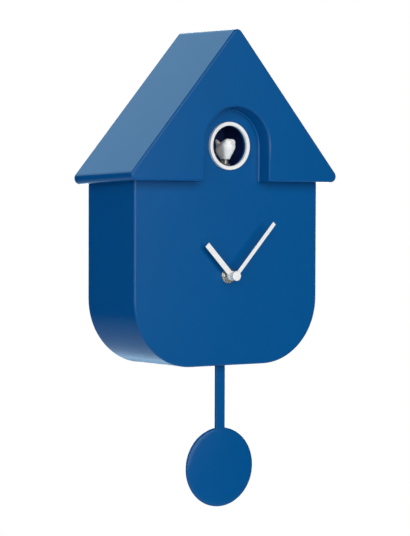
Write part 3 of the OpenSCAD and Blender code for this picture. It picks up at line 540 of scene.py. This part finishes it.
def roof():
    """Gabled moulding with the arched recess cut through its front."""
    notch = BODY_DEPTH + 0.1
    cut_half = BODY_HALF + BODY_DRAFT + 0.1
    foot = 0.6
    arch_top = WINDOW[1] + ARCH_R
    corners = [
        (-ROOF_HALF, EAVE, EAVE_R, 0), (-cut_half - 0.02, EAVE, 0, 0, 0), (-cut_half, EAVE, 0, notch, 0),
        (-ARCH_R, EAVE, foot, notch, ARCH_LEAN), (-ARCH_R, arch_top, ARCH_R, notch, ARCH_LEAN),
        (ARCH_R, arch_top, ARCH_R, notch, ARCH_LEAN), (ARCH_R, EAVE, foot, notch, ARCH_LEAN),
        (cut_half, EAVE, 0, notch, 0), (cut_half + 0.02, EAVE, 0, 0, 0),
        (ROOF_HALF, EAVE, EAVE_R, 0), (0, EAVE + RIDGE_RISE, RIDGE_R, 0),
    ]
    rings = shell_rings(corners, ROOF_DEPTH, ROOF_HALF, ROOF_DRAFT, ROOF_DEPTH - WALL, 0.0)
    skin = mesh_from_rings("skin", rings)
    posts = [screw_post(x, z, ROOF_DEPTH - WALL) for x, z in screw_places()[:3]]
    return dress(combine("roof_moulding", [skin, arch_cove(), *posts]), "case", "case_blue", "roof_shell")


def arch_cove():
    """Hollow round where the arch's wall meets the front plate."""
    r = ARCH_R - ARCH_LEAN
    top = WINDOW[1] + r
    path = [(r, EAVE, 0), (r, top, r), (-r, top, r), (-r, EAVE, 0)]
    foot = BODY_DEPTH + 0.02
    section = [(-0.3, foot), (-0.3, foot + COVE_R)]
    section += [(COVE_R - inset, foot + COVE_R - rise) for inset, rise in reversed(quarter(COVE_R, 5))]
    loops = [[(p.x, depth, max(p.y, EAVE)) for p, _ in inset_loop(path, inset, 20)]
             for inset, depth in section]
    ends = (0, len(loops[0]) - 1)
    rings = [[(loop[k][0], loop[k][1], EAVE if k in ends else loop[k][2]) for loop in loops]
             for k in range(len(loops[0]))]
    return mesh_from_rings("cove", rings)


def body():
    """Body moulding: filleted front plate, drafted sides, and a tongue that backs the arch."""
    top = EAVE + SPIGOT_UP
    low = EAVE - BODY_RISE
    plate = BODY_DEPTH - WALL
    tongue_top = WINDOW[1] + TONGUE_R
    corners = [
        (-BODY_HALF, low, CORNER_R, 0), (BODY_HALF, low, CORNER_R, 0),
        (BODY_HALF, top - 0.02, 0, 0), (BODY_HALF, top, 0, plate),
        (TONGUE_R, top, 0, plate), (TONGUE_R, tongue_top, TONGUE_R, plate),
        (-TONGUE_R, tongue_top, TONGUE_R, plate), (-TONGUE_R, top, 0, plate),
        (-BODY_HALF, top, 0, plate), (-BODY_HALF, top - 0.02, 0, 0),
    ]
    rings = shell_rings(corners, BODY_DEPTH, BODY_HALF, BODY_DRAFT, plate, EAVE - BODY_RISE * 0.65)
    rings = [[(x, d, z if d > plate - 0.01 else min(z, top)) for x, d, z in ring] for ring in rings]
    piece = mesh_from_rings("body_moulding", rings)
    cut(piece, cylinder_tool(WINDOW, WINDOW_R, plate - 1, BODY_DEPTH + 1))
    cut(piece, cylinder_tool(HANDS, BUSHING_HOLE_R, plate - 1, BODY_DEPTH + 1, 64))
    bar_low, bar_high = corner_mm("pendulum_bar")
    middle = -(bar_low.y + bar_high.y) / 2
    pin_low, pin_high = corner_mm("pendulum_pin")
    pivot = (pin_low.z + pin_high.z) / 2
    slot_half = (pivot - low) * math.tan(SWING) + (bar_high.x - bar_low.x) / 2 + SWING_ROOM
    slot = slab("slot", box_corners(slot_half, 5, 0, (0, BODY_LOW.z)), middle - 3, middle + 3, 0.01)
    cut(piece, slot)
    sensor_low, sensor_high = corner_mm("light_sensor")
    sensor_x, sensor_d = (sensor_low.x + sensor_high.x) / 2, -(sensor_low.y + sensor_high.y) / 2
    hole = upright_tool(sensor_x, sensor_d, SENSOR_HOLE_R, BODY_LOW.z - 5, BODY_LOW.z + 12)
    cut(piece, hole)
    posts = [screw_post(x, z, plate) for x, z in screw_places()[3:]]
    return dress(combine("body_with_posts", [piece, *posts]), "case", "case_blue", "body_shell")


def window_ring():
    """White ring with softly rounded front edges and a small step inside."""
    back, front = -RING_HIGH.y, -RING_LOW.y
    lip = 0.5
    profile = rounded_profile([
        (WINDOW_R, back, 0), (RING_R, back, 0), (RING_R, front, 0.6), (WINDOW_R + lip, front, 0.25),
        (WINDOW_R + lip, front - lip, 0.1), (WINDOW_R, front - lip, 0.1)])
    return dress(lathe("white_ring", profile, WINDOW, 160), "case", "white_plastic", "window_ring")


# ---- hands --------------------------------------------------------------------------------

def along(name, length, width, back, front, angle, edge):
    """A straight blade from the hands' axis, turned clockwise from 12."""
    half, tip = width / 2, 0.25
    blade = slab(name, [(-half, 0, 0), (half, 0, 0), (half, length, tip), (-half, length, tip)],
                 back, front, edge)
    blade.data.transform(Matrix.Translation(Vector((0, 0, HANDS[1])) * MM)
                         @ Matrix.Rotation(math.radians(angle), 4, "Y"))
    return blade


HAND_T = 0.8
MINUTE_AT, MINUTE_LEN, MINUTE_W = 41.8, 59.1, 3.3
HOUR_AT, HOUR_LEN, HOUR_W = 316.3, 36.4, 4.8
SHAFT_R = 1.25
TUBE_R = 2.2


def minute_hand():
    front = -corner_mm("minute_hand")[0].y
    back = -corner_mm("minute_hand")[1].y
    boss = lathe("boss", rounded_profile([
        (SHAFT_R, back, 0), (3.2, back, 0.3), (3.2, front, 0.15), (SHAFT_R, front, 0)]), HANDS, 64)
    blade = along("blade", MINUTE_LEN, MINUTE_W, front - HAND_T, front - 0.001, MINUTE_AT, 0.12)
    return dress(combine("minute_hand_blade", [blade, boss]), "minute", "white_plastic", "minute_hand")


def hour_hand():
    low, high = corner_mm("hour_hand")
    front, back = -low.y, -high.y
    boss = lathe("boss", rounded_profile([
        (TUBE_R, back, 0), (4.0, back, 0.3), (4.0, front, 0.3), (TUBE_R, front, 0)]), HANDS, 64)
    blade = along("blade", HOUR_LEN, HOUR_W, front - HAND_T - 0.4, front - 0.4, HOUR_AT, 0.12)
    return dress(combine("hour_hand_blade", [blade, boss]), "hour", "white_plastic", "hour_hand")


def hand_cap():
    low, high = corner_mm("hand_cap")
    front, back = -low.y, -high.y
    radius = (high.x - low.x) / 2
    cap = lathe("cap", rounded_profile([
        (0, back, 0), (radius, back, 0.15), (radius, front - 0.25, 0.45), (0, front, 0)]), HANDS, 64)
    cap.name = "centre_cap"
    return dress(cap, "minute", "white_plastic", "hand_cap")


def bushing_washer():
    low, high = corner_mm("bushing_washer")
    radius = (high.x - low.x) / 2
    return dress(lathe("brass_washer", rounded_profile([
        (BUSHING_R, -high.y, 0), (radius, -high.y, 0.1), (radius, -low.y, 0.2),
        (BUSHING_R, -low.y, 0.1)]), HANDS, 96),
        "case", "brass_metal", "bushing_washer")


def bushing_nut():
    """Hexagonal nut whose corners are turned off at 30 degrees."""
    low, high = corner_mm("bushing_nut")
    back, front = -high.y, -low.y
    radius = (high.x - low.x) / 2
    bevel = math.radians(30)
    turns = [math.radians(60 * k) for k in range(6)]
    hexagon = [(radius * math.cos(a), HANDS[1] + radius * math.sin(a), 0.3) for a in turns]
    nut = slab("brass_nut", hexagon, back, front, 0.15)
    flat = radius * math.cos(bevel)
    chamfer = (radius - flat) * math.tan(bevel)
    reach = 3
    cone = lathe("cone", [(0, back - 1), (radius + reach, back - 1),
                          (radius + reach, front - chamfer - reach * math.tan(bevel)),
                          (flat - 0.2, front + 0.12), (0, front + 0.12)], HANDS, 96)
    cut(nut, cone, "INTERSECT")
    cut(nut, cylinder_tool(HANDS, BUSHING_R, back - 1, front + 1, 64))
    return dress(nut, "case", "brass_metal", "bushing_nut")


def hand_bushing():
    """Threaded bushing, its thread drawn as rings of real ridges."""
    low, high = corner_mm("hand_bushing")
    front, back = -low.y, -high.y
    pitch, crest = 0.5, 0.12
    bore = TUBE_R + 0.05
    root = BUSHING_R - crest
    profile = [(bore, back), (root, back)]
    depth = back + 0.2
    while depth + pitch < front - 0.3:
        profile += [(root, depth), (BUSHING_R, depth + pitch / 2)]
        depth += pitch
    profile += [(root, depth), (BUSHING_R - 0.35, front), (bore, front)]
    return dress(lathe("threaded_bushing", profile, HANDS, 64), "case", "brass_metal", "hand_bushing")


# ---- pendulum -----------------------------------------------------------------------------

def pendulum_bar():
    low, high = corner_mm("pendulum_bar")
    half = (high.x - low.x) / 2
    middle_z, half_z = (low.z + high.z) / 2, (high.z - low.z) / 2
    corner, edge = 0.4, 0.5
    bar = slab("pendulum_rod", box_corners(half, half_z, corner, (0, middle_z)), -high.y, -low.y, edge)
    return dress(bar, "pendulum", "case_blue", "pendulum_bar")


def pendulum_disc():
    """Disc with rounded rims and a slightly crowned front, slotted for the bar."""
    low, high = corner_mm("pendulum_disc")
    back, front = -high.y, -low.y
    radius = (high.x - low.x) / 2
    centre = (0, low.z + radius)
    rim_front = front - DISC_CROWN
    edge = (rim_front - back) / 2 - 0.02
    rings = 24
    face = [(radius * k / rings, front - DISC_CROWN * (k / rings) ** 2) for k in range(rings - 1)]
    rim = rounded_profile([(0, back, 0), (radius, back, edge),
                           (radius, rim_front, edge), (0, rim_front, 0)], 8)
    disc = lathe("disc", [*rim[:-1], *reversed(face)], centre, 160)
    bar_low, bar_high = corner_mm("pendulum_bar")
    gap = 0.05
    left, right = bar_low.x - gap, bar_high.x + gap
    slot = slab("slot", [(left, bar_low.z - gap, 0), (right, bar_low.z - gap, 0),
                         (right, bar_high.z, 0), (left, bar_high.z, 0)],
                -bar_high.y - gap, -bar_low.y + gap, 0.001)
    cut(disc, slot)
    disc.name = "pendulum_bob"
    return dress(disc, "pendulum", "case_blue", "pendulum_disc")


# ---- bird ---------------------------------------------------------------------------------

def ball(centre, radius):
    bm = bmesh.new()
    bmesh.ops.create_uvsphere(bm, u_segments=32, v_segments=20, radius=radius * MM)
    bmesh.ops.translate(bm, vec=Vector((centre[0], -centre[1], centre[2])) * MM, verts=bm.verts)
    return bm


def hull_of(balls):
    """The convex hull of several ((x, depth, z), radius) balls, as one object."""
    bm = bmesh.new()
    for centre, radius in balls:
        part = ball(centre, radius)
        data = bpy.data.meshes.new("part")
        part.to_mesh(data)
        part.free()
        bm.from_mesh(data)
    found = bmesh.ops.convex_hull(bm, input=bm.verts)
    spare = found["geom_interior"] + found["geom_unused"]
    inside = [g for g in spare if isinstance(g, bmesh.types.BMVert)]
    bmesh.ops.delete(bm, geom=list(set(inside)), context="VERTS")
    return finish_mesh("hull", bm)


def bird():
    """A plump little bird, blended from four hulls of balls and cut flat where it sits on its peg."""
    foot = corner_mm("bird")[0].z
    peg_low, peg_high = corner_mm("bird_peg")
    peg = -(peg_low.y + peg_high.y) / 2
    crown = foot + BIRD_H
    legs = ((0, peg + 0.6, foot + 1.0), 3.4)
    body_part = hull_of([((0, peg + 3.6, foot + 10.6), 6.3), ((0, peg - 4.4, foot + 7.6), 6.2),
                         legs, ((0, peg - 1.6, foot + 1.0), 3.4)])
    head = hull_of([((0, peg + 3.6, crown - 5.6), 5.4), ((-2.2, peg + 6.2, crown - 3.5), 3.0),
                    ((2.2, peg + 6.2, crown - 3.5), 3.0), legs])
    tail = hull_of([((0, peg - 7.0, foot + 8.5), 3.8), ((0, peg - 12.6, foot + 14.6), 1.5),
                    ((0, peg - 13.8, foot + 16.0), 1.1)])
    beak = hull_of([((0, peg + 9.2, crown - 4.6), 1.6), ((0, peg + 11.0, crown - 5.0), 0.7)])
    piece = combine("white_bird", [body_part, head, tail, beak])
    remesh = piece.modifiers.new("skin", "REMESH")
    remesh.mode = "VOXEL"
    remesh.voxel_size = 0.35 * MM
    smooth = piece.modifiers.new("soften", "SMOOTH")
    smooth.factor = 0.6
    smooth.iterations = 12
    bake(piece)
    base = slab("base", box_corners(12, 4, 0, (0, foot - 4)), peg - 15, peg + 15, 0.01)
    cut(piece, base)
    return dress(piece, "bird", "white_plastic", "bird", sharp=50)


# ---- back ---------------------------------------------------------------------------------

def case_screws():
    """Pan-head screws with a cross recess, seen from behind."""
    back = -corner_mm("case_screws")[1].y
    shank, tip, under_head = 1.2, 11, back + 1.4
    half_length, half_width, cross_depth = 1.6, 0.3, 0.9
    pieces = []
    for x, z in screw_places():
        head = lathe("screw", rounded_profile([
            (0, back, 0), (SCREW_HEAD_R, back + 0.45, 0.5), (SCREW_HEAD_R, under_head, 0.2),
            (shank, under_head, 0), (shank, tip - 0.4, 0), (0, tip, 0)]), (x, z), 32)
        for turn in (0, 90):
            blade = slab("blade", box_corners(half_length, half_width), back - 1, back + cross_depth, 0.001)
            blade.data.transform(Matrix.Translation(Vector((x, 0, z)) * MM)
                                 @ Matrix.Rotation(math.radians(turn + 20), 4, "Y"))
            cut(head, blade)
        pieces.append(head)
    return dress(combine("cover_screws", pieces), "case", "steel", "case_screws")


# ---- stage, in metres and watts -----------------------------------------------------------

def area_light(name, place, target, size, power, colour=(1, 1, 1)):
    data = bpy.data.lights.new(name, "AREA")
    data.shape = "RECTANGLE"
    data.size, data.size_y = size
    data.energy = power
    data.color = colour
    light = bpy.data.objects.new(name, data)
    bpy.context.scene.collection.objects.link(light)
    light.location = place
    light.rotation_euler = (Vector(target) - Vector(place)).to_track_quat("-Z", "Y").to_euler()
    light.visible_camera = False
    return light


FLOOR_DROP = 1.25
FLOOR_R = 3.2
ROOM_LIGHT = 0.02


def stage():
    """A pale floor well below the clock, which hangs on a wall that isn't drawn."""
    bpy.ops.mesh.primitive_circle_add(vertices=96, radius=FLOOR_R, fill_type="NGON",
                                      location=(0, 0, -FLOOR_DROP))
    floor = bpy.context.object
    floor.name = "floor"
    material, tree, shader, place = new_material("pale_floor")
    shade = noise(tree, place, 400)
    tree.links.new(tint(tree, shade, (0.66, 0.75, 0.80), (0.68, 0.77, 0.82)), shader.inputs["Base Color"])
    shader.inputs["Roughness"].default_value = 0.7
    floor.data.materials.append(material)


def world():
    """White behind the object for the camera, and a dim even room for everything else."""
    w = bpy.data.worlds.new("studio")
    bpy.context.scene.world = w
    w.use_nodes = True
    tree = w.node_tree
    tree.nodes.clear()
    out = tree.nodes.new("ShaderNodeOutputWorld")
    plain = tree.nodes.new("ShaderNodeBackground")
    plain.inputs["Color"].default_value = (1, 1, 1, 1)
    room = tree.nodes.new("ShaderNodeBackground")
    room.inputs["Color"].default_value = (0.9, 0.95, 1, 1)
    room.inputs["Strength"].default_value = ROOM_LIGHT
    mix = tree.nodes.new("ShaderNodeMixShader")
    path = tree.nodes.new("ShaderNodeLightPath")
    tree.links.new(path.outputs["Is Camera Ray"], mix.inputs["Fac"])
    tree.links.new(room.outputs["Background"], mix.inputs[1])
    tree.links.new(plain.outputs["Background"], mix.inputs[2])
    tree.links.new(mix.outputs["Shader"], out.inputs["Surface"])


def lights():
    """Softboxes: a large frontal key, a narrow strip at the left, and four behind.

    left_back and top_back gloss the roof's slope, low_back the underside, and rear_fill shows the back.
    """
    middle = (0, 0, -0.13)
    area_light("key", (-0.36, -2.5, 0.55), middle, (3.6, 2.1), 75, (1.0, 0.985, 0.965))
    area_light("left_strip", (-2.3, -1.1, 0.1), middle, (0.1, 1.8), 13, (0.85, 0.95, 1.0))
    area_light("left_back", (-2.3, 0.9, 0.4), middle, (0.8, 1.6), 12, (0.6, 0.85, 1.0))
    area_light("low_back", (0.7, 1.8, -1.05), (0, 0, -0.2), (1.4, 0.4), 2.2, (0.35, 0.7, 1.0))
    area_light("rear_fill", (1.5, 2.1, 0.1), middle, (1.6, 1.8), 42)
    area_light("top_back", (-0.3, 2.0, 1.35), (0, 0, 0), (2.6, 1.2), 22, (0.42, 0.75, 1.0))


# ---- assembly -----------------------------------------------------------------------------

make_camera()
world()
stage()
lights()
finish_cad_nodes()
roof()
body()
window_ring()
minute_hand()
hour_hand()
hand_cap()
bushing_washer()
bushing_nut()
hand_bushing()
pendulum_bar()
pendulum_disc()
bird()
case_screws()
bpy.context.scene.view_settings.view_transform = "Standard"
